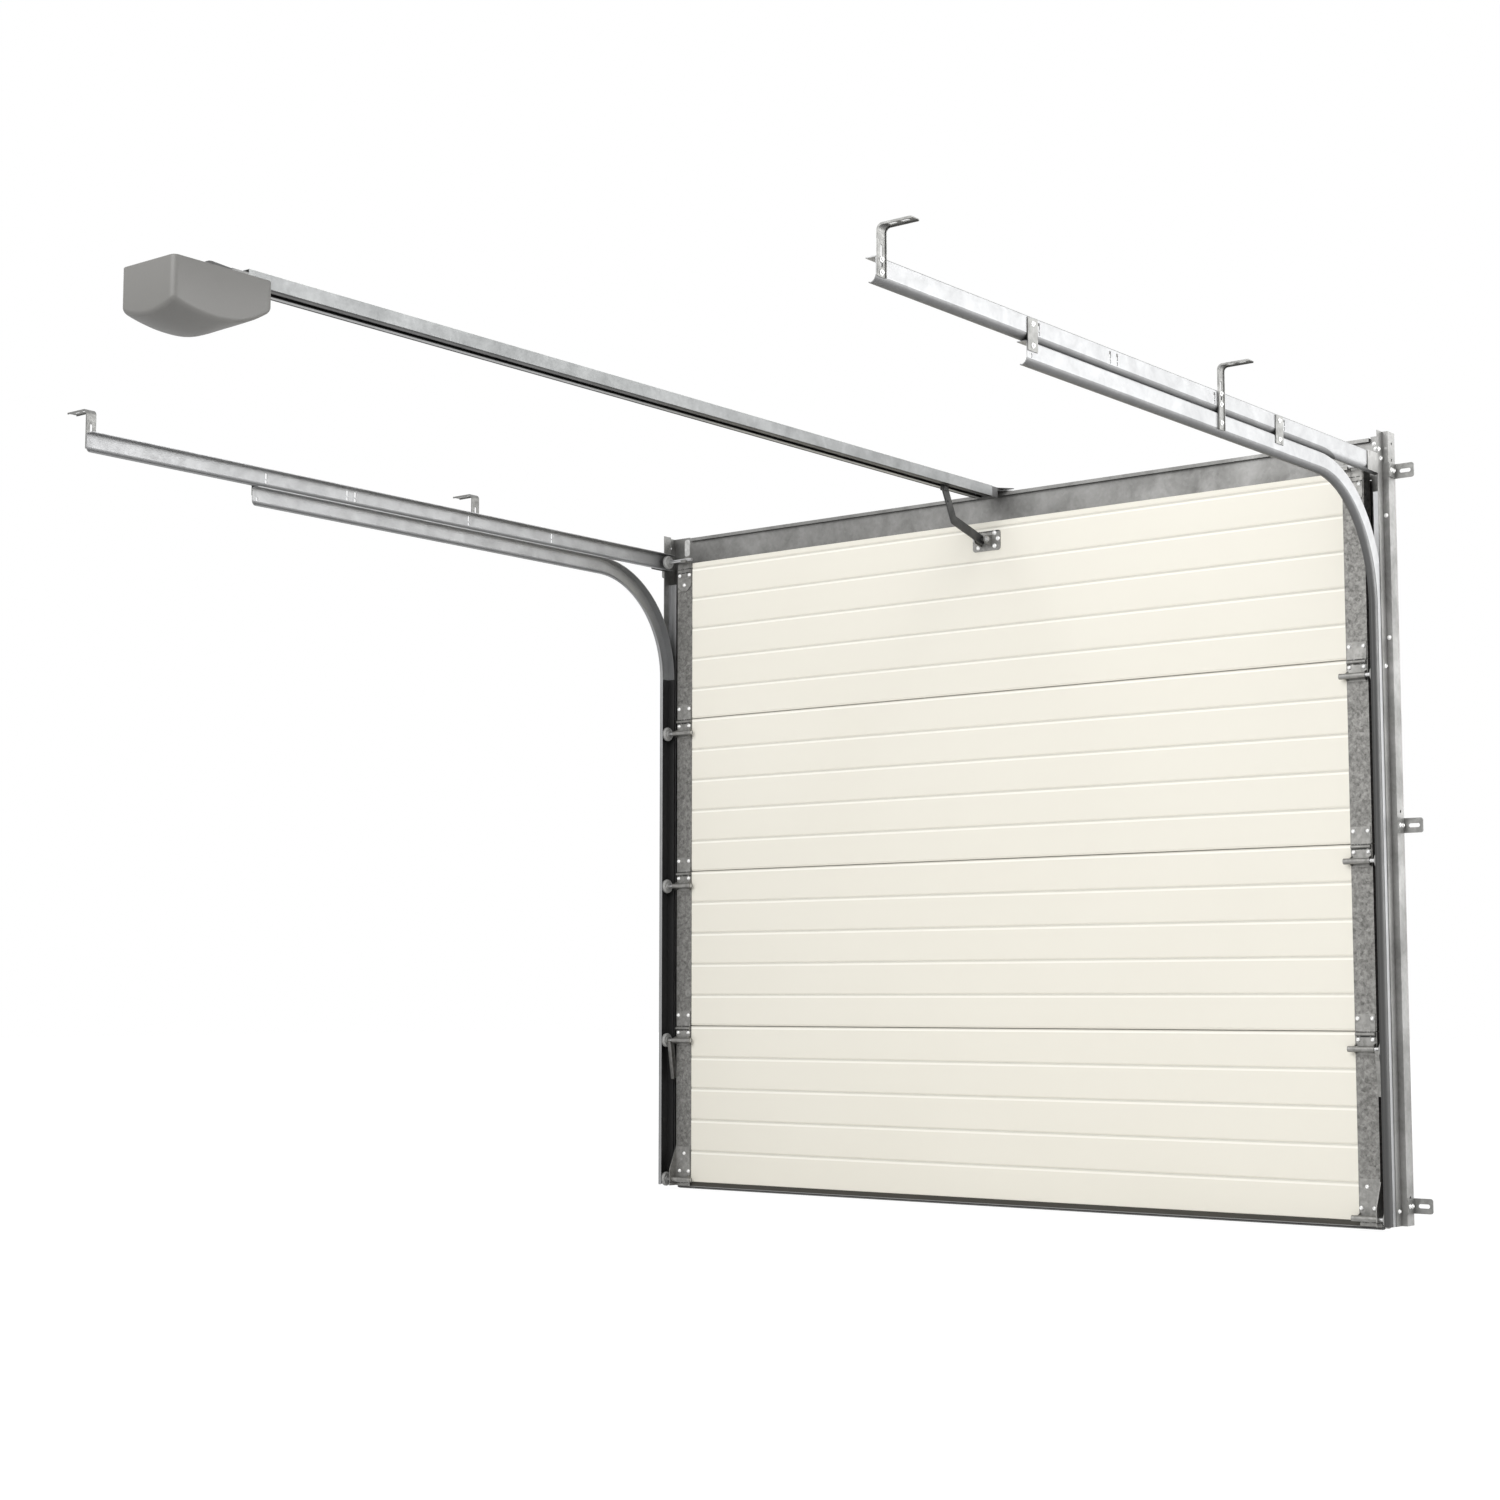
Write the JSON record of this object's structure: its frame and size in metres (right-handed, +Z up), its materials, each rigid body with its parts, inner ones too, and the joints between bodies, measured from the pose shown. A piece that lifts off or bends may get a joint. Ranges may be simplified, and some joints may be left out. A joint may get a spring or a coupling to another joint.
{
  "type": "sectional garage door",
  "caption": "Insulated four-section overhead garage door with double tracks, steel frame and ceiling-rail opener.",
  "frame": {"origin": "middle of the lintel's wall face, where the frame is fastened to the wall", "axes": "+Y outwards through the wall, +Z up, +X to the right seen from inside the garage"},
  "size_m": [2.69, 3.193, 2.1439],
  "materials": {
    "cream_steel": "satin",
    "galvanised_caps": "spangled matt",
    "galvanised_frame": "galvanised",
    "galvanised_track": "galvanised",
    "galvanised_brackets": "galvanised",
    "zinc_hardware": "zinc plated",
    "bright_steel": "bright",
    "roller_nylon": "matt",
    "black_rubber": "matt",
    "aluminium_profile": "mill",
    "dark_steel": "satin",
    "dark_plastic": "matt",
    "rail_steel": "galvanised",
    "grey_plastic": "matt",
    "grey_housing": "matt"
  },
  "bodies": {
    "root": {"bottom_brackets": "zinc_hardware", "bottom_profile": "aluminium_profile", "bottom_seal": "black_rubber", "ceiling_hangers": "galvanised_brackets", "corner_plates": "galvanised_frame", "door_bracket": "zinc_hardware", "end_caps": "galvanised_caps", "header_bracket": "dark_steel", "hinges": "zinc_hardware", "left_lower_track": "galvanised_track", "left_post": "galvanised_frame", "left_upper_track": "galvanised_track", "left_vertical_track": "galvanised_track", "levers": "zinc_hardware", "lintel": "galvanised_frame", "opener_arm": "dark_steel", "opener_head": "grey_housing", "opener_rail_front": "rail_steel", "opener_rail_rear": "rail_steel", "rail_coupling": "dark_plastic", "rail_end_cap": "grey_plastic", "right_lower_track": "galvanised_track", "right_post": "galvanised_frame", "right_upper_track": "galvanised_track", "right_vertical_track": "galvanised_track", "roller_shafts": "bright_steel", "rollers": "roller_nylon", "section_1": "cream_steel", "section_2": "cream_steel", "section_3": "cream_steel", "section_4": "cream_steel", "side_seals": "black_rubber", "top_brackets": "zinc_hardware", "top_rollers": "roller_nylon", "top_seal": "black_rubber", "track_angles": "galvanised_track", "track_straps": "galvanised_brackets", "trolley": "dark_plastic", "wall_brackets": "galvanised_brackets"}
  },
  "joints": []
}
